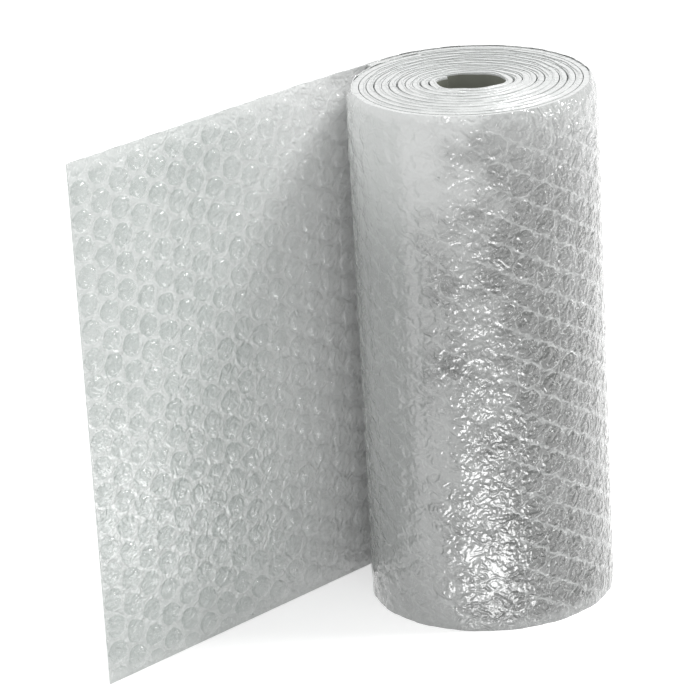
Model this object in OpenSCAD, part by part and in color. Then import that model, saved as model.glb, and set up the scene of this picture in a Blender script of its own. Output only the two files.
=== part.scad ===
// A coreless roll of large-bubble cushioning film standing on its end, with its free tail unrolled.
// The whole thing is one continuous sheet: a flat film that carries bubbles on the side that faces
// the roll's axis. Seen from above, the sheet winds clockwise from the tail to the middle.
// Origin: the axis of the roll at the surface it stands on. +Z runs up along the axis.

/* [Sheet] */
// Width of the sheet, which is the height of the standing roll
sheet_w = 600; // [300:10:700]
// Thickness of the flat film
film_t = 1.2; // [0.8:0.1:2]
// Height of a free bubble above the film
bubble_h = 9; // [6:0.5:12]
// Diameter of a bubble
bubble_d = 26; // [18:0.5:27]
// Distance between neighbouring bubbles, centre to centre
bubble_pitch = 31.2; // [29:0.1:34]
// How far the film bulges outwards over each bubble
bulge_h = 1; // [0.5:0.1:1.5]

/* [Roll] */
// Radius of the outermost turn, to the flat film
roll_r = 143; // [125:1:165]
// Number of turns round the hole
turns = 11; // [9:1:12]
// Length of the clear hole in the middle
hole_l = 76; // [60:1:84]
// Width of the clear hole in the middle
hole_w = 48; // [40:1:60]
// How far the bubbles stop short of the sheet's cut edges
edge_margin = 6; // [4:0.5:8]

/* [Tail] */
// Length of the free tail from where it leaves the roll
tail_l = 460; // [200:1:600]
// Turn of the tail about the roll's axis, from pointing left
tail_angle = 46; // [0:1:90]

/* [Hidden] */

film_colour = [0.86, 0.88, 0.87, 0.6];
sink = 0.5 * film_t;
column_step = bubble_pitch * sin(60);
rows = floor((sheet_w - 2 * edge_margin - bubble_d) / bubble_pitch) + 1;

// One turn's film and the pressed bubbles under it
turn_pitch = (roll_r - hole_l / 2) / (turns + 1);

// Ellipse of the innermost turn, on the film's outer side
inner_a = hole_l / 2 + turn_pitch;
inner_b = hole_w / 2 + turn_pitch;

function deg_of(arc, r) = arc / r * 180 / PI;
function ellipse_r(a) = inner_a * inner_b
    / sqrt(pow(inner_b * cos(a + tail_angle), 2) + pow(inner_a * sin(a + tail_angle), 2));
// Radius of the film's outer side after it has turned by the angle s from the tail
function spiral_r(s) = roll_r + (ellipse_r(90 - s) - roll_r) * s / (360 * turns);
function spiral_p(s, depth = 0) = (spiral_r(s) - depth) * [cos(90 - s), sin(90 - s)];

// The outermost turn has one facet for each column of bubbles, the turns inside have finer facets
outer_s = [for (s = 0; s < 360; s = s + deg_of(column_step, spiral_r(s))) s];
last_s = outer_s[len(outer_s) - 1];
inner_step = 0.65 * column_step;
inner_s = [for (s = last_s + deg_of(inner_step, spiral_r(last_s)); s < 360 * turns;
    s = s + deg_of(inner_step, spiral_r(s))) s];
wound = [for (s = concat(outer_s, inner_s)) spiral_p(s)];

function unit(v) = v / norm(v);
function across(a, b) = [unit(b - a)[1], -unit(b - a)[0]];
// Inner side of the film at the corner between two facets
function inset(p, n0, n1) = p + film_t * unit(n0 + n1) / cos(acos(min(1, n0 * n1)) / 2);

track = concat([[-tail_l, roll_r]], wound);
n = len(track);
inner_side = [for (i = [n - 1 : -1 : 0])
    let (n0 = across(track[max(i, 1) - 1], track[max(i, 1)]))
    let (n1 = across(track[min(i, n - 2)], track[min(i, n - 2) + 1]))
    inset(track[i], n0, n1)];

// The flat film, seen along the roll's axis
module film_line() {
    linear_extrude(sheet_w)
        polygon(concat(track, inner_side));
}

// The pressed bubbles of all turns, as one solid that leaves the film's cut edges free at both ends
module pressed_bubbles() {
    wedge = [-column_step, roll_r - sink];
    outline = [for (s = outer_s) spiral_p(s, sink)];
    hole = [for (s = inner_s) if (s > 360 * (turns - 1)) spiral_p(s, turn_pitch)];
    translate([0, 0, edge_margin])
        difference() {
            linear_extrude(sheet_w - 2 * edge_margin)
                polygon(concat([wedge], outline));
            translate([0, 0, -edge_margin])
                linear_extrude(sheet_w)
                    polygon(hole);
        }
}

// Copies on the centres of the bubbles in one column, up the sheet
module up_the_column(i) {
    odd = i % 2;
    for (k = [0 : rows - 1 - odd])
        translate([0, 0, sheet_w / 2 + bubble_pitch * (k - (rows - 1 - odd) / 2)])
            children();
}

// A bubble's outline, pulled out from z = 0 and sunk into the film, with one flat side down
module bubble(d, h, sides) {
    translate([0, 0, -sink])
        rotate([0, 0, 180 / sides])
            cylinder(d = d, h = h + sink, $fn = sides);
}

// Low bulges of the outermost turn, one column on each facet
bulge_d = bubble_d - 2;
bulge_sides = 6;
module outer_bulges() {
    for (i = [0 : len(outer_s) - 3]) {
        a = wound[i];
        b = wound[i + 1];
        translate([(a[0] + b[0]) / 2, (a[1] + b[1]) / 2, 0])
            rotate([0, 0, atan2(b[1] - a[1], b[0] - a[0])])
                up_the_column(i)
                    rotate([-90, 0, 0])
                        bubble(bulge_d, bulge_h, bulge_sides);
    }
}

// Free bubbles of the tail. The last column ends just short of the sheet's cut end
cut_margin = 1;
bubble_sides = 8;
tail_columns = floor((tail_l - bubble_d / 2 - cut_margin) / column_step + 0.5);
module tail_bubbles() {
    for (i = [1 : tail_columns - 1])
        translate([-(i + 0.5) * column_step, roll_r - film_t, 0])
            up_the_column(i + 1)
                rotate([90, 0, 0])
                    bubble(bubble_d, bubble_h, bubble_sides);
}

module bubble_wrap_roll() {
    color(film_colour)
        rotate([0, 0, tail_angle])
            union() {
                film_line();
                pressed_bubbles();
                outer_bulges();
                tail_bubbles();
            }
}

bubble_wrap_roll();
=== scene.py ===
# A coreless roll of large-bubble cushioning film on its end, with its free tail unrolled.
# Every piece is modelled on the flat sheet first, and then wound up as the real sheet is.
# Flat sheet: x runs along the tail from where it leaves the roll (below zero it is wound in),
# y runs up the sheet's width, and z is the side that ends up outside the roll.
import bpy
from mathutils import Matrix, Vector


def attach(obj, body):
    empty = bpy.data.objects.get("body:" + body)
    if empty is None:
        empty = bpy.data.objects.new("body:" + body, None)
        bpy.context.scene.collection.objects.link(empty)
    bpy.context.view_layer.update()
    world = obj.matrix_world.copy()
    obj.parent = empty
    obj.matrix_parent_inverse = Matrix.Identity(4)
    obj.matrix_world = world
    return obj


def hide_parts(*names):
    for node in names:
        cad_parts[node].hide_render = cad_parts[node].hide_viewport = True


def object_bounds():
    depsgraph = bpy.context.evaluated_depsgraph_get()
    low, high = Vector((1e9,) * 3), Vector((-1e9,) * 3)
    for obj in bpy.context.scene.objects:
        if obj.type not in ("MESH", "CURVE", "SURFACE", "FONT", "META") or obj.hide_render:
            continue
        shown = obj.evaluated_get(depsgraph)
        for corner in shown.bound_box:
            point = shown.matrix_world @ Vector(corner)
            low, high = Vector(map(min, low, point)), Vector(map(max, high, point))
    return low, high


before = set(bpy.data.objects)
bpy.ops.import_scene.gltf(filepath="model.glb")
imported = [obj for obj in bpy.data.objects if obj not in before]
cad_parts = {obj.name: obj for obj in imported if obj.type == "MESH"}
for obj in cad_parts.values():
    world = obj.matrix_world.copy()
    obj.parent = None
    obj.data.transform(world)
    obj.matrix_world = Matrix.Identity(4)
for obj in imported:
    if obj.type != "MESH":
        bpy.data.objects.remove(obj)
cad_box = [list(corner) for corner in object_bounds()]

import math

import bpy
import numpy as np
from mathutils import Matrix, Vector

MM = 0.001

# Sizes of the sheet and the roll, as in the part's source
SHEET_W = cad_box[1][2] - cad_box[0][2]
FILM_T = 1.2 * MM
BUBBLE_H = 9 * MM
BUBBLE_R = 13 * MM
BUBBLE_PITCH = 31.2 * MM
BULGE_H = 1.0 * MM
ROLL_R = 143 * MM
TURNS = 11
HOLE_L = 76 * MM
HOLE_W = 48 * MM
EDGE_MARGIN = 6 * MM
CUT_MARGIN = 1 * MM
TAIL_L = 460 * MM
TAIL_TURN = math.radians(46)

COLUMN_STEP = BUBBLE_PITCH * math.sin(math.radians(60))
ROWS = int((SHEET_W - 2 * EDGE_MARGIN - 2 * BUBBLE_R) / BUBBLE_PITCH) + 1
TAIL_COLUMNS = int((TAIL_L - BUBBLE_R - CUT_MARGIN) / COLUMN_STEP + 0.5)
TURN_PITCH = (ROLL_R - HOLE_L / 2) / (TURNS + 1)
INNER_A = HOLE_L / 2 + TURN_PITCH
INNER_B = HOLE_W / 2 + TURN_PITCH

# The piece for the outer turn goes a little more than once round the roll
OUTER_LAP = 1.02
OUTER_L = 2 * math.pi * ROLL_R * OUTER_LAP

# A free bubble's sides, and its rings from the film to its top. Each ring has its share of the
# bubble's height, and its width as a share of the ring before.
BUBBLE_SIDES = 12
BUBBLE_RINGS = [(0.45, 1.0), (0.27, 0.93), (0.16, 0.82), (0.09, 0.62)]

# Where the bulge over a bubble starts to fall, and where it is flat again
BULGE_TOP = 0.72 * BUBBLE_R
BULGE_FOOT = 1.05 * BUBBLE_R

# The film over the tail's bubbles, and the dark sheet that paints the shade in the hole: how far each
# reaches into what lies over it, how thick it is, and how far that dark sheet stays from the cut edges
BUBBLE_FILM_LAP = 0.2 * MM
BUBBLE_FILM_T = 0.5 * MM
HOLE_SHADE_LAP = 0.3 * MM
HOLE_SHADE_T = 0.8 * MM
HOLE_SHADE_MARGIN = 0.5 * EDGE_MARGIN

# The layer of pressed bubbles: its thickness, how far it stays from the cut edges, and how far it
# goes along the tail, into the corner where the tail parts from the roll
LAYER_T = TURN_PITCH - FILM_T
LAYER_MARGIN = 0.2 * EDGE_MARGIN
LAYER_END = 0.8 * COLUMN_STEP

# How much narrower the roll is at its upper end and over what height, and how much more its rounded
# edge draws in. Along the tail both fade out.
TOP_DRAW_IN = 0.012
TOP_SHOULDER = 50 * MM
EDGE_DRAW_IN = 0.035
EDGE_ROUND = 14 * MM
DRAW_IN_FADE = 0.3 * TAIL_L

# How far and from what height the turns' cut edges bend over the gap to the next turn, and the
# waves of that bend along the sheet
LIP = 7 * MM
LIP_H = 7 * MM
LIP_UNEVEN = 0.25
LIP_WAVES = (47, 83)

# How far the loose turns wander from an even winding. It starts and is full after so many turns.
# Each wave has its share, its waves to the turn and its start, and none closes in one turn, so that
# no two turns wander alike.
WANDER = 0.8 * MM
WANDER_FROM = 1.2
WANDER_FULL = 3
WANDER_WAVES = [(0.7, 1.7, 1), (0.5, 2.9, 0)]

# The bends in the edge of the hole, in the last turns
HOLE_BEND = 2.2 * MM
HOLE_BEND_TURNS = 2
HOLE_BEND_WAVES = (5, 0.9)

# Steps in which the wound sheet is worked out, and the angle up to which faces are shaded smooth
LINE_STEPS = 12000
SMOOTH_ANGLE = math.radians(50)

# Camera, found from the outline of the roll and its tail in the photograph
CAMERA_AWAY = 3.947
CAMERA_UP = 1.802
CAMERA_YAW = math.radians(2.13)
CAMERA_DOWN = math.radians(20.94)
CAMERA_ROLL = math.radians(-3.30)
CAMERA_LENS = 193.5
CAMERA_SENSOR = 36
CAMERA_REACH = 50

# Outer radius of the weld round a bubble. The dark inside, painted shade of what lies behind the
# clear bubble, is full up to a share of that radius. The weld shows as a pale line at another share
# of it, full up to WELD_LINE_CORE on either side.
WELD_R = 14.2 * MM
DISC_FULL = 0.86
DISC_BELOW_FULL = 0.75
WELD_LINE = 0.95
WELD_LINE_CORE = 0.3 * MM
WELD_LINE_EDGE = 1.4 * MM
WELD_LINE_SHARE = 0.5

# The bubbles of the next turn lie halfway between the outer turn's own, along the falling rows
UNDER_SHIFT = (COLUMN_STEP / 2, -BUBBLE_PITCH / 4, 0)

# How far from the cut edges the bubbles' look starts to fade. It is gone at EDGE_MARGIN.
BUBBLES_END = 20 * MM

# How far apart the lumps of the film's patterns lie: bends in the bubbles' outlines, gaps in the
# weld lines, clouds, pale streaks, and fine and broad crinkles
OUTLINE_BENDS = 14.3 * MM
WELD_GAPS = 8.3 * MM
CLOUDS = 71 * MM
STREAKS = 6.25 * MM
FINE_CRINKLES = 4.35 * MM
BROAD_CRINKLES = 11.1 * MM

# Between which values of its pattern the film goes from cloudy to clear, and the weld lines and the
# streaks from nothing to full. The last figure is the share of the inside that shows through a
# cloud, and how pale a streak is.
CLOUDY = (0.3, 0.7, 0.65)
WELD_BROKEN = (0.42, 0.58)
STREAKY = (0.54, 0.68, 0.65)

# How far the outlines are bent, and how high the crinkles are. They are drawn higher than real
# ones, because finer ones don't show. They are strongest at the lower end of the roll.
OUTLINE_SHIFT = 8 * MM
FINE_CRINKLE_H = 0.9 * MM
BROAD_CRINKLE_H = 4.0 * MM
CRINKLES_BELOW = 1.2
CRINKLES_ABOVE = 0.7

# Where the painted sheen on the outer turn starts, how uneven and how wide that border is, and how far
# down the upper end has it too. The sheen is painted as an even grey over the bubbles, for the bright
# surroundings that the film reflects there, and the film is less crinkled there.
SMOOTH_SHEEN_FROM = -600 * MM
SMOOTH_SHEEN_UNEVEN = 220 * MM
SMOOTH_SHEEN_FADE = 90 * MM
TIGHT_CRINKLE_FADE = (-20 * MM, 40 * MM)
SHEEN_PAINT_TOP = 200 * MM
SHEEN_PAINT_TOP_SHARE = 0.6
TIGHT_CRINKLES = 0.4
SHEEN_PAINT_COLOUR = "#a6a8a7"

# Towards the upper cut edge the film is paler, partly its own milky margin and mostly painted light
# on the rounded upper end. For the loose part and for the side with painted sheen: how far down this
# starts, how far down it is full, and how much it is.
RIM_LOOSE = (90 * MM, 3 * MM, 0.25)
RIM_SHEEN_SIDE = (210 * MM, 10 * MM, 0.95)
UPPER_EDGE_LIGHT_COLOUR = "#dcdedd"

# How much light polyethylene bends, how smooth its skin is, and how much a clear bubble shines
FILM_IOR = 1.51
SKIN_ROUGHNESS = 0.06
CLEAR_GLOSS = (0.03, 0.03, 0.03, 1)

# How far along the tail the light that the roll throws on it is painted in, paler towards the roll, and
# the colour of that painted light
ROLL_LIGHT_PAINT_REACH = 330 * MM
ROLL_LIGHT_PAINT_COLOUR = "#f4f4f4"

# Over what length the look of the roll goes over into that of the tail, seen from behind
JOIN = 50 * MM
JOIN_COLOUR = "#b6b8b7"

# A paper floor, and a patch of it in front of the roll that glows only in reflections, a painted
# light, which the film reflects towards its lower end. It lies between PATCH_NEAR and PATCH_FAR in
# front of the axis, and is full up to PATCH_FULL. It fades out from PATCH_CORE to PATCH_W on either side.
FLOOR_SIZE = 30
FLOOR_GLOW = 0.5
PATCH_W = 0.105
PATCH_CORE = 0.3 * PATCH_W
PATCH_NEAR = 0.15
PATCH_EDGE = 0.06
PATCH_FULL = 0.4
PATCH_FAR = 1.0
PATCH_POWER = 5.8

# Light from all round, stronger on the tail's side. FILL_REACH is how far a direction points to either
# side where the change from one to the other ends.
FILL_TAIL_SIDE = 1.0
FILL_FAR_SIDE = 0.62
FILL_REACH = 0.7

# What the lamps are aimed at
LIGHT_AIM = Vector((-0.05, -0.03, 0.3))


def select_only(*objects):
    bpy.ops.object.select_all(action="DESELECT")
    for obj in objects:
        obj.select_set(True)
    bpy.context.view_layer.objects.active = objects[0]


def add_camera():
    data = bpy.data.cameras.new("view")
    data.lens = CAMERA_LENS
    data.sensor_width = CAMERA_SENSOR
    data.clip_end = CAMERA_REACH
    camera = bpy.data.objects.new("view", data)
    bpy.context.collection.objects.link(camera)
    turn = Matrix.Rotation(CAMERA_YAW, 4, "Z")
    turn = turn @ Matrix.Rotation(math.pi / 2 - CAMERA_DOWN, 4, "X")
    turn = turn @ Matrix.Rotation(CAMERA_ROLL, 4, "Z")
    camera.matrix_world = Matrix.Translation((0, -CAMERA_AWAY, CAMERA_UP)) @ turn
    bpy.context.scene.camera = camera


# The way the sheet is wound

def smooth(edge_0, edge_1, value):
    t = np.clip((value - edge_0) / (edge_1 - edge_0), 0, 1)
    return t * t * (3 - 2 * t)


def ellipse_r(angle):
    world = angle + TAIL_TURN
    return INNER_A * INNER_B / np.sqrt((INNER_B * np.cos(world)) ** 2 + (INNER_A * np.sin(world)) ** 2)


def wound_line():
    """Points, outward normals and lengths along the wound sheet, from the tail to the hole."""
    s = np.linspace(0, 2 * math.pi * TURNS, LINE_STEPS)
    angle = math.pi / 2 - s
    turn = s / (2 * math.pi)
    r = ROLL_R + (ellipse_r(angle) - ROLL_R) * s / s[-1]
    waves = sum(share * np.sin(speed * s + start) for share, speed, start in WANDER_WAVES)
    r += WANDER * smooth(WANDER_FROM, WANDER_FULL, turn) * waves
    bends = np.sin(HOLE_BEND_WAVES[0] * s) * np.sin(HOLE_BEND_WAVES[1] * s)
    r += HOLE_BEND * smooth(TURNS - HOLE_BEND_TURNS, TURNS, turn) * bends
    points = np.stack([r * np.cos(angle), r * np.sin(angle)], 1)
    steps = np.diff(points, axis=0)
    length = np.concatenate([[0], np.cumsum(np.hypot(steps[:, 0], steps[:, 1]))])
    along = np.gradient(points, length, axis=0)
    along /= np.hypot(along[:, 0], along[:, 1])[:, None]
    normals = np.stack([-along[:, 1], along[:, 0]], 1)
    return length, points, normals


LENGTH, POINTS, NORMALS = wound_line()
WOUND_L = LENGTH[-1]
LAST_TURN_L = WOUND_L - LENGTH[len(LENGTH) * (TURNS - 1) // TURNS]


def draw_in(x, y):
    """How much nearer to the axis a place on the sheet is, as a share. The upper end of the roll
    draws in a little, as the loose turns do on a standing roll, and its edge is rounded."""
    share = TOP_DRAW_IN * smooth(SHEET_W - TOP_SHOULDER, SHEET_W, y)
    share += EDGE_DRAW_IN * np.clip((y - SHEET_W + EDGE_ROUND) / EDGE_ROUND, 0, 1) ** 2
    return share * (1 - smooth(0, DRAW_IN_FADE, x))


def wind(obj):
    """Rolls a piece of the flat sheet up, tail and all, and turns the tail to its place."""
    mesh = obj.data
    flat = np.empty(len(mesh.vertices) * 3)
    mesh.vertices.foreach_get("co", flat)
    x, y, z = flat.reshape(-1, 3).T
    inside = np.clip(-x, 0, WOUND_L)
    px = np.interp(inside, LENGTH, POINTS[:, 0]) - np.maximum(x, 0)
    py = np.interp(inside, LENGTH, POINTS[:, 1])
    nx = np.interp(inside, LENGTH, NORMALS[:, 0])
    ny = np.interp(inside, LENGTH, NORMALS[:, 1])
    px = (px + nx * z) * (1 - draw_in(x, y))
    py = (py + ny * z) * (1 - draw_in(x, y))
    cos_t = math.cos(TAIL_TURN)
    sin_t = math.sin(TAIL_TURN)
    out = np.stack([px * cos_t - py * sin_t, px * sin_t + py * cos_t, y], 1)
    mesh.vertices.foreach_set("co", out.ravel())
    mesh.update()


def sheet_map(obj):
    """Keeps each corner's place on the flat sheet, in metres, as the piece's own map."""
    mesh = obj.data
    for layer in list(mesh.uv_layers):
        mesh.uv_layers.remove(layer)
    layer = mesh.uv_layers.new(name="sheet")
    places = np.empty(len(mesh.vertices) * 3)
    mesh.vertices.foreach_get("co", places)
    corners = np.empty(len(mesh.loops), dtype=np.int32)
    mesh.loops.foreach_get("vertex_index", corners)
    layer.data.foreach_set("uv", places.reshape(-1, 3)[corners, :2].ravel())


def from_bubble(x, y):
    """Distance to the middle of the bubble whose column a point is in."""
    column = np.floor(x / COLUMN_STEP)
    odd = (column + 1) % 2
    across = (x / COLUMN_STEP - column - 0.5) * COLUMN_STEP
    row = (y - SHEET_W / 2) / BUBBLE_PITCH + odd / 2
    up = (row - np.round(row)) * BUBBLE_PITCH
    return np.hypot(across, up)


def flat_film(name, x0, x1, cells, low=0.0, thick=FILM_T, margin=0.0, bulge=0.0, lip=0.0):
    """A stretch of film, or of the layer under it, with a low bulge over every bubble. A film with
    a lip has its rows of cells close together at the cut edges, where it bends over."""
    bpy.ops.object.select_all(action="DESELECT")
    bpy.ops.mesh.primitive_grid_add(x_subdivisions=cells[0], y_subdivisions=cells[1], size=1)
    film = bpy.context.object
    film.name = name
    film.data.name = name
    film.scale = (x1 - x0, SHEET_W - 2 * margin, 1)
    film.location = ((x0 + x1) / 2, SHEET_W / 2, -low)
    bpy.ops.object.transform_apply(location=True, rotation=True, scale=True)
    co = np.empty(len(film.data.vertices) * 3)
    film.data.vertices.foreach_get("co", co)
    co = co.reshape(-1, 3)
    co[:, 2] += bulge * (1 - smooth(BULGE_TOP, BULGE_FOOT, from_bubble(co[:, 0], co[:, 1])))
    if lip:
        co[:, 1] = SHEET_W * (0.5 - 0.5 * np.cos(math.pi * co[:, 1] / SHEET_W))
        from_edge = np.minimum(co[:, 1], SHEET_W - co[:, 1])
        waves = np.sin(LIP_WAVES[0] * co[:, 0]) * np.sin(LIP_WAVES[1] * co[:, 0] + 1)
        uneven = 1 - LIP_UNEVEN + LIP_UNEVEN * waves
        co[:, 2] -= lip * uneven * (1 - smooth(0, LIP_H, from_edge))
    film.data.vertices.foreach_set("co", co.ravel())
    film.data.update()
    wall = film.modifiers.new("wall", "SOLIDIFY")
    wall.thickness = thick
    wall.offset = -1
    bpy.ops.object.modifier_apply(modifier=wall.name)
    return film


def flat_bubble(name):
    """One bubble on the inner side of the film: a drum with a rounded shoulder."""
    bpy.ops.object.select_all(action="DESELECT")
    bpy.ops.mesh.primitive_circle_add(vertices=BUBBLE_SIDES, radius=BUBBLE_R, fill_type="NGON")
    bubble = bpy.context.object
    bubble.name = name
    bubble.data.name = name
    bpy.ops.object.mode_set(mode="EDIT")
    bpy.ops.mesh.select_all(action="SELECT")
    for drop, width in BUBBLE_RINGS:
        bpy.ops.mesh.extrude_region_move(TRANSFORM_OT_translate={"value": (0, 0, -drop * BUBBLE_H)})
        bpy.ops.transform.resize(value=(width, width, 1))
    bpy.ops.mesh.poke()
    bpy.ops.object.mode_set(mode="OBJECT")
    return bubble


def bubble_rows(column):
    count = ROWS - (column + 1) % 2
    return [SHEET_W / 2 + BUBBLE_PITCH * (k - (count - 1) / 2) for k in range(count)]


def bubble_lattice(name, columns):
    """Copies of one bubble on the columns and rows of the flat sheet, joined."""
    one = flat_bubble(name + "_one")
    copies = []
    for column in columns:
        for row in bubble_rows(column):
            copy = bpy.data.objects.new(name, one.data.copy())
            copy.location = ((column + 0.5) * COLUMN_STEP, row, -FILM_T / 2)
            bpy.context.collection.objects.link(copy)
            copies.append(copy)
    bpy.data.objects.remove(one)
    select_only(*copies)
    bpy.ops.object.join()
    bpy.ops.object.transform_apply(location=True, rotation=True, scale=True)
    return bpy.context.object


def finish_piece(obj, material):
    """Maps a flat piece, winds it up, turns its faces outwards and gives it its film."""
    sheet_map(obj)
    wind(obj)
    select_only(obj)
    bpy.ops.object.mode_set(mode="EDIT")
    bpy.ops.mesh.select_all(action="SELECT")
    bpy.ops.mesh.normals_make_consistent(inside=False)
    bpy.ops.object.mode_set(mode="OBJECT")
    bpy.ops.object.shade_smooth_by_angle(angle=SMOOTH_ANGLE)
    obj.data.materials.clear()
    obj.data.materials.append(material)
    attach(obj, "root")


# Materials

NOISE = "ShaderNodeTexNoise"
MATHS = "ShaderNodeMath"
VECTOR = "ShaderNodeVectorMath"
RANGE = "ShaderNodeMapRange"
PRINCIPLED = "ShaderNodeBsdfPrincipled"


def linear(hexa):
    """An sRGB hex colour as linear numbers."""
    out = []
    for i in (1, 3, 5):
        c = int(hexa[i:i + 2], 16) / 255
        out.append(c / 12.92 if c <= 0.04045 else ((c + 0.055) / 1.055) ** 2.4)
    return (*out, 1.0)


def node(tree, kind, feeds=(), **settings):
    """Adds a node with its settings, and gives its inputs, in order or by name, a value or the
    output that feeds them. A node stands for its first output."""
    made = tree.nodes.new(kind)
    for key, value in settings.items():
        setattr(made, key, value)
    for socket, feed in (feeds.items() if isinstance(feeds, dict) else enumerate(feeds)):
        if isinstance(feed, bpy.types.Node):
            feed = feed.outputs[0]
        if isinstance(feed, bpy.types.NodeSocket):
            tree.links.new(feed, made.inputs[socket])
        else:
            made.inputs[socket].default_value = feed
    return made


def blank_material(name):
    material = bpy.data.materials.new(name)
    material.use_nodes = True
    material.node_tree.nodes.clear()
    return material, material.node_tree


def lumps(apart):
    """The scale of a pattern whose lumps lie so far apart, as a whole number of them to the metre."""
    return round(1 / apart)


def bubble_distance(tree, place):
    """Distance from a place on the sheet to the middle of its bubble."""
    at = node(tree, "ShaderNodeSeparateXYZ", [place])
    column = node(tree, MATHS, [at.outputs["X"], COLUMN_STEP], operation="DIVIDE")
    column = node(tree, MATHS, [column], operation="FLOOR")
    middle = node(tree, MATHS, [column, COLUMN_STEP, COLUMN_STEP / 2], operation="MULTIPLY_ADD")
    across = node(tree, MATHS, [at.outputs["X"], middle], operation="SUBTRACT")
    odd = node(tree, MATHS, [column, 1], operation="ADD")
    odd = node(tree, MATHS, [odd, 2], operation="FLOORED_MODULO")
    up = node(tree, MATHS, [at.outputs["Y"], SHEET_W / 2], operation="SUBTRACT")
    up = node(tree, MATHS, [odd, BUBBLE_PITCH / 2, up], operation="MULTIPLY_ADD")
    up = node(tree, MATHS, [up, BUBBLE_PITCH / 2, -BUBBLE_PITCH / 2], operation="WRAP")
    offset = node(tree, "ShaderNodeCombineXYZ", [across, up])
    return node(tree, VECTOR, [offset], operation="LENGTH").outputs["Value"]


def bent_place(tree, place):
    """A place on the sheet moved a little at random, so that no bubble is quite round."""
    bends = node(tree, NOISE, {"Vector": place, "Scale": lumps(OUTLINE_BENDS), "Detail": 2})
    pull = node(tree, VECTOR, [bends.outputs["Color"], (0.5, 0.5, 0.5)], operation="SUBTRACT")
    shift = (OUTLINE_SHIFT, OUTLINE_SHIFT, 0)
    return node(tree, VECTOR, [pull, shift, place], operation="MULTIPLY_ADD")


def shaded_inside_shows(tree, bent, away, clouds, height, under):
    """How much the darker inside shows, which is painted shade: through each bubble, and by the share
    under through those of the next turn. Clouds in the film hide it, and the cut edges have no bubbles."""
    shows = node(tree, RANGE, [away, DISC_FULL * WELD_R, WELD_R, 1, 0],
                 interpolation_type="SMOOTHSTEP")
    if under:
        below = node(tree, VECTOR, [bent, UNDER_SHIFT], operation="ADD")
        below = node(tree, RANGE, [bubble_distance(tree, below), DISC_BELOW_FULL * WELD_R, WELD_R,
                                   under, 0], interpolation_type="SMOOTHSTEP")
        shows = node(tree, MATHS, [shows, below], operation="MAXIMUM")
    low, high, least = CLOUDY
    thin = node(tree, RANGE, [clouds, low, high, least, 1], interpolation_type="SMOOTHSTEP")
    shows = node(tree, MATHS, [shows, thin], operation="MULTIPLY")
    from_middle = node(tree, MATHS, [height, SHEET_W / 2], operation="SUBTRACT")
    from_middle = node(tree, MATHS, [from_middle], operation="ABSOLUTE")
    inner = node(tree, RANGE, [from_middle, SHEET_W / 2 - BUBBLES_END, SHEET_W / 2 - EDGE_MARGIN, 1, 0],
                 interpolation_type="SMOOTHSTEP")
    return node(tree, MATHS, [shows, inner], operation="MULTIPLY")


def welds_and_streaks(tree, place, away):
    """Thin pale rings where the two films are welded, broken up along their length, and short pale
    streaks, partly where the film has been stretched and partly painted glints."""
    off_line = node(tree, MATHS, [away, WELD_LINE * WELD_R], operation="SUBTRACT")
    off_line = node(tree, MATHS, [off_line], operation="ABSOLUTE")
    line = node(tree, RANGE, [off_line, WELD_LINE_CORE, WELD_LINE_EDGE, WELD_LINE_SHARE, 0],
                interpolation_type="SMOOTHSTEP")
    gaps = node(tree, NOISE, {"Vector": place, "Scale": lumps(WELD_GAPS), "Detail": 2})
    broken = node(tree, RANGE, [gaps, *WELD_BROKEN], interpolation_type="SMOOTHSTEP")
    line = node(tree, MATHS, [line, broken], operation="MULTIPLY")
    # Pale streaks: partly stretched film, partly painted glints
    streaks = node(tree, NOISE, {"Vector": place, "Scale": lumps(STREAKS), "Detail": 4,
                                 "Roughness": 0.6, "Distortion": 2.5})
    low, high, most = STREAKY
    streaks = node(tree, RANGE, [streaks, low, high, 0, most], interpolation_type="SMOOTHSTEP")
    return node(tree, MATHS, [line, streaks], operation="MAXIMUM")


def milky_and_lit_edge(tree, height, side):
    """How much paler the film is towards the upper cut edge, more so on the side with painted sheen:
    partly its own whitish margin, mostly painted light.
    """
    start, full, most = RIM_LOOSE
    loose = node(tree, RANGE, [height, SHEET_W - start, SHEET_W - full, 0, most],
                 interpolation_type="SMOOTHSTEP")
    start, full, most = RIM_SHEEN_SIDE
    sheen_paint = node(tree, RANGE, [height, SHEET_W - start, SHEET_W - full, 0, most],
                 interpolation_type="SMOOTHSTEP")
    sheen_paint = node(tree, MATHS, [side, sheen_paint], operation="MULTIPLY")
    return node(tree, MATHS, [loose, sheen_paint], operation="MAXIMUM")


def crinkles(tree, place, height, strength):
    """Height of the crinkles of stretched film, which break up every highlight."""
    fine = node(tree, NOISE, {"Vector": place, "Scale": lumps(FINE_CRINKLES), "Detail": 0,
                              "Distortion": 1.0})
    broad = node(tree, NOISE, {"Vector": place, "Scale": lumps(BROAD_CRINKLES), "Detail": 0,
                               "Distortion": 1.5})
    broad = node(tree, MATHS, [broad, strength * BROAD_CRINKLE_H], operation="MULTIPLY")
    both = node(tree, MATHS, [fine, strength * FINE_CRINKLE_H, broad], operation="MULTIPLY_ADD")
    less = node(tree, RANGE, [height, 0, SHEET_W, CRINKLES_BELOW, CRINKLES_ABOVE],
                interpolation_type="SMOOTHSTEP")
    return node(tree, MATHS, [both, less], operation="MULTIPLY")


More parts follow.
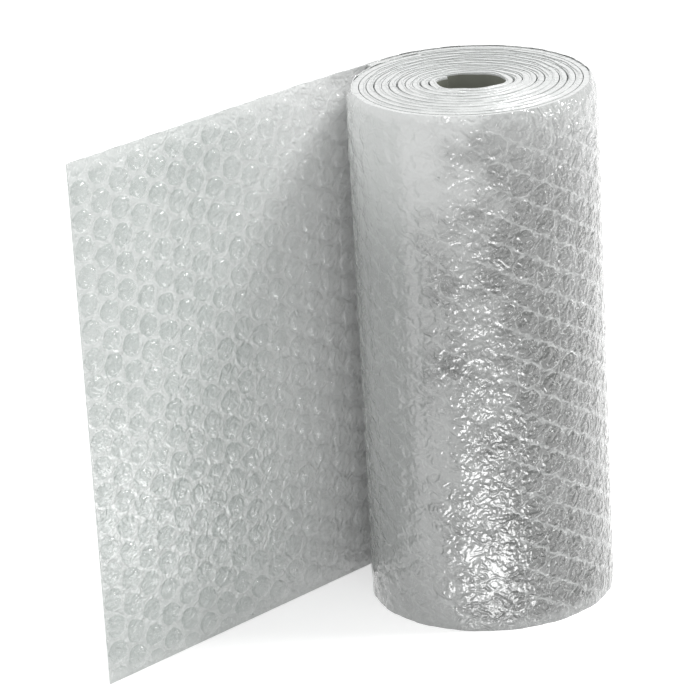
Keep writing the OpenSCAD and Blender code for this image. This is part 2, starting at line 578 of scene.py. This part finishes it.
def film_material(name, disc, net, weld, crinkled, roughness, under=0.0, clear=0.0, sheen_paint=0.0,
                  roll_light_paint=0.0, join=False, coat=1.0):
    """Clear blown polyethylene, two films welded round every bubble. The weld and the net between
    the bubbles scatter light and look pale, and the bubbles are clearer and show the darker inside,
    which is painted shade. under is how much of the next turn's bubbles shows through, tight how much
    painted sheen and painted light at the upper edge the film has, roll_light_paint how much painted
    light the roll throws on it, and clear how much light goes straight through. With join, the looks of
    roll and tail meet in one colour. The films reflect from their fronts and their backs, so the
    specular level is doubled. Each layer of colour lies over those before it."""
    material, tree = blank_material(name)
    place = node(tree, "ShaderNodeUVMap", uv_map="sheet")
    flat = node(tree, "ShaderNodeSeparateXYZ", [place])
    along = flat.outputs["X"]
    height = flat.outputs["Y"]
    clouds = node(tree, NOISE, {"Vector": place, "Scale": lumps(CLOUDS), "Detail": 3})
    bent = bent_place(tree, place)
    away = bubble_distance(tree, bent)
    relief = crinkles(tree, place, height, crinkled)
    # The darker inside that shows through the bubbles is painted shade
    layers = [(shaded_inside_shows(tree, bent, away, clouds, height, under), disc),
              (welds_and_streaks(tree, place, away), weld)]
    # Painted sheen: an even grey over the bubbles on one side of the outer turn and towards its upper end
    if sheen_paint:
        border = node(tree, MATHS, [clouds, SMOOTH_SHEEN_UNEVEN, -0.5 * SMOOTH_SHEEN_UNEVEN], operation="MULTIPLY_ADD")
        border = node(tree, MATHS, [along, border], operation="ADD")
        side = node(tree, RANGE, [border, SMOOTH_SHEEN_FROM, SMOOTH_SHEEN_FROM + SMOOTH_SHEEN_FADE, sheen_paint, 0],
                    interpolation_type="SMOOTHSTEP")
        top = node(tree, RANGE, [height, SHEET_W - SHEEN_PAINT_TOP, SHEET_W, 0, SHEEN_PAINT_TOP_SHARE * sheen_paint],
                   interpolation_type="SMOOTHSTEP")
        layers.append((node(tree, MATHS, [side, top], operation="MAXIMUM"), SHEEN_PAINT_COLOUR))
        # Painted light towards the upper edge, partly the film's own milky margin
        layers.append((milky_and_lit_edge(tree, height, side), UPPER_EDGE_LIGHT_COLOUR))
        start, full = TIGHT_CRINKLE_FADE
        loose = node(tree, RANGE, [border, SMOOTH_SHEEN_FROM + start, SMOOTH_SHEEN_FROM + full, TIGHT_CRINKLES, 1],
                     interpolation_type="SMOOTHSTEP")
        relief = node(tree, MATHS, [relief, loose], operation="MULTIPLY")
    # Painted light: the tail is painted paler towards the roll, for the light that the roll throws on it.
    if roll_light_paint:
        painted_roll_light = node(tree, RANGE, [along, 0, ROLL_LIGHT_PAINT_REACH, roll_light_paint, 0], interpolation_type="SMOOTHSTEP")
        layers.append((painted_roll_light, ROLL_LIGHT_PAINT_COLOUR))
    if join:
        from_join = node(tree, MATHS, [along], operation="ABSOLUTE")
        by_roll = node(tree, RANGE, [from_join, 0, JOIN, 1, 0], interpolation_type="SMOOTHSTEP")
        layers.append((by_roll, JOIN_COLOUR))
    colour = linear(net)
    for share, paint in layers:
        mix = node(tree, "ShaderNodeMix", {0: share, 6: colour, 7: linear(paint)}, data_type="RGBA")
        colour = mix.outputs[2]
    bump = node(tree, "ShaderNodeBump", {"Height": relief, "Strength": 1.0, "Distance": 1.0})
    shader = node(tree, PRINCIPLED, {"Base Color": colour, "Normal": bump, "Coat Normal": bump,
                                     "Roughness": roughness, "IOR": FILM_IOR, "Specular IOR Level": 1.0,
                                     "Coat Weight": coat, "Coat Roughness": SKIN_ROUGHNESS})
    if clear:
        through = node(tree, "ShaderNodeBsdfTransparent")
        shader = node(tree, "ShaderNodeMixShader", [clear, shader, through])
        gloss = node(tree, "ShaderNodeBsdfGlossy", {"Color": CLEAR_GLOSS, "Roughness": roughness,
                                                    "Normal": bump})
        shader = node(tree, "ShaderNodeAddShader", [shader, gloss])
    node(tree, "ShaderNodeOutputMaterial", {"Surface": shader})
    return material


def painted_hole_shade():
    """Painted shade for the hole, where clear film with no light behind it looks nearly black and a
    little green.
    """
    material, tree = blank_material("painted_shade_in_the_hole")
    surface = node(tree, PRINCIPLED, {"Base Color": linear("#7c7e74"), "Roughness": 0.5, "IOR": FILM_IOR})
    node(tree, "ShaderNodeOutputMaterial", {"Surface": surface})
    return material


def patch_glow(tree):
    """How brightly each place of the floor glows in reflections, in front of the roll. This glow is
    painted light.
    """
    place = node(tree, "ShaderNodeTexCoord").outputs["Object"]
    place = node(tree, "ShaderNodeSeparateXYZ", [place])
    aside = node(tree, MATHS, [place.outputs["X"]], operation="ABSOLUTE")
    middle = node(tree, RANGE, [aside, PATCH_CORE, PATCH_W, PATCH_POWER, 0],
                  interpolation_type="SMOOTHSTEP")
    far_end = node(tree, RANGE, [place.outputs["Y"], -PATCH_FAR, -PATCH_FULL],
                   interpolation_type="SMOOTHSTEP")
    near_end = node(tree, RANGE, [place.outputs["Y"], -PATCH_NEAR - PATCH_EDGE, -PATCH_NEAR, 1, 0],
                    interpolation_type="SMOOTHSTEP")
    patch = node(tree, MATHS, [middle, far_end], operation="MULTIPLY")
    return node(tree, MATHS, [patch, near_end], operation="MULTIPLY")


def plain_floor():
    """White paper, which the camera and the film see as white, and which keeps the shadows."""
    bpy.ops.object.select_all(action="DESELECT")
    bpy.ops.mesh.primitive_plane_add(size=FLOOR_SIZE)
    floor = bpy.context.object
    floor.name = "floor"
    material, tree = blank_material("white_paper_floor")
    seen = node(tree, "ShaderNodeLightPath")
    paper = node(tree, "ShaderNodeBsdfDiffuse", {"Color": linear("#dcdcdc")})
    glow = node(tree, MATHS, [patch_glow(tree), seen.outputs["Is Glossy Ray"], FLOOR_GLOW],
                operation="MULTIPLY_ADD")
    white = node(tree, "ShaderNodeEmission", {"Color": (1, 1, 1, 1), "Strength": glow})
    both = node(tree, "ShaderNodeAddShader", [paper, white])
    rays = node(tree, MATHS, [seen.outputs["Is Camera Ray"], seen.outputs["Is Glossy Ray"]],
                operation="MAXIMUM")
    mix = node(tree, "ShaderNodeMixShader", [rays, paper, both])
    node(tree, "ShaderNodeOutputMaterial", {"Surface": mix})
    floor.data.materials.append(material)


def studio():
    """Light from all round, which the camera sees as plain white."""
    bpy.context.scene.view_settings.view_transform = "Standard"
    world = bpy.data.worlds.new("studio")
    bpy.context.scene.world = world
    world.use_nodes = True
    tree = world.node_tree
    tree.nodes.clear()
    seen = node(tree, "ShaderNodeLightPath")
    way = node(tree, "ShaderNodeTexCoord").outputs["Generated"]
    side = node(tree, "ShaderNodeSeparateXYZ", [way]).outputs["X"]
    power = node(tree, RANGE, [side, -FILL_REACH, FILL_REACH, FILL_TAIL_SIDE, FILL_FAR_SIDE],
                 interpolation_type="SMOOTHSTEP")
    fill = node(tree, "ShaderNodeBackground", {"Color": (1, 1, 1, 1), "Strength": power})
    white = node(tree, "ShaderNodeBackground", {"Color": (1, 1, 1, 1), "Strength": 1.0})
    mix = node(tree, "ShaderNodeMixShader", [seen.outputs["Is Camera Ray"], fill, white])
    node(tree, "ShaderNodeOutputWorld", {"Surface": mix})


def area_light(name, azimuth, elevation, away, size, power):
    data = bpy.data.lights.new(name, "AREA")
    data.energy = power
    data.shape = "SQUARE"
    data.size = size
    light = bpy.data.objects.new(name, data)
    light.visible_camera = False
    bpy.context.collection.objects.link(light)
    a = math.radians(azimuth)
    e = math.radians(elevation)
    way = Vector((math.cos(e) * math.cos(a), math.cos(e) * math.sin(a), math.sin(e)))
    light.location = LIGHT_AIM + away * way
    light.rotation_euler = way.to_track_quat("Z", "Y").to_euler()


add_camera()

# The outer turn, with the next turn's bubbles showing through it. The dark of the bubbles is painted
# shade of the roll's inside.
outside = film_material("polyethylene_film_outer", disc="#525452", net="#989a99", weld="#d4d6d5",
                        crinkled=0.9, roughness=0.14, under=0.85, sheen_paint=0.8, join=True)

# The tail's one film, painted pale, partly for the light that shines through it from behind
single = film_material("polyethylene_film_single", disc="#bec4c1", net="#ced3d0", weld="#eceeed",
                       crinkled=0.6, roughness=0.15, join=True)

# The film over the tail's bubbles, with the light that the roll throws on it painted in.
facing = film_material("polyethylene_film_facing_the_roll", disc="#b0b7b4", net="#ced2d0",
                       weld="#f0f2f1", crinkled=0.4, roughness=0.2, roll_light_paint=0.8, coat=0.3)

# The free bubbles, which are nearly all air, with the roll's light painted on them too
clear = film_material("polyethylene_bubbles_clear", disc="#d4d8d6", net="#dee1df", weld="#f4f6f5",
                      crinkled=0.4, roughness=0.12, clear=0.82, roll_light_paint=1.0)

# The cut edges of the turns, one behind the other, so that they look milky
ends = film_material("polyethylene_film_turns", disc="#c8cac9", net="#cccecd", weld="#d4d6d5",
                     crinkled=0.3, roughness=0.3)
inside = painted_hole_shade()

tail_film = flat_film("tail_film", 0, TAIL_L, cells=(144, 188), bulge=BULGE_H)
finish_piece(tail_film, single)
tail_bubble_film = flat_film("tail_bubble_film", 0, TAIL_L, cells=(40, 60),
                             low=FILM_T - BUBBLE_FILM_LAP, thick=BUBBLE_FILM_T)
finish_piece(tail_bubble_film, facing)
outer_turn = flat_film("outer_turn", -OUTER_L, 0, cells=(256, 164), bulge=BULGE_H)
finish_piece(outer_turn, outside)
inner_turns = flat_film("inner_turns", -WOUND_L, -OUTER_L, cells=(1100, 34), lip=LIP)
finish_piece(inner_turns, ends)
bubble_layer = flat_film("bubble_layer", -WOUND_L, LAYER_END, cells=(1300, 6),
                         low=FILM_T, thick=LAYER_T, margin=LAYER_MARGIN)
finish_piece(bubble_layer, ends)
# A dark sheet inside the last turn: painted shade for the unlit hole
hole_shade_sheet = flat_film("hole_shade_sheet", -WOUND_L, -WOUND_L + LAST_TURN_L, cells=(90, 12),
                        low=TURN_PITCH - HOLE_SHADE_LAP, thick=HOLE_SHADE_T, margin=HOLE_SHADE_MARGIN)
finish_piece(hole_shade_sheet, inside)
tail_bubbles = bubble_lattice("tail_bubbles", range(1, TAIL_COLUMNS))
finish_piece(tail_bubbles, clear)

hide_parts("bubble_wrap_roll")

plain_floor()
studio()
area_light("key", azimuth=6, elevation=58, away=3.0, size=0.8, power=62)
area_light("low_side", azimuth=0, elevation=12, away=3.0, size=0.28, power=9)
area_light("glint", azimuth=-125, elevation=45, away=3.0, size=0.15, power=6)
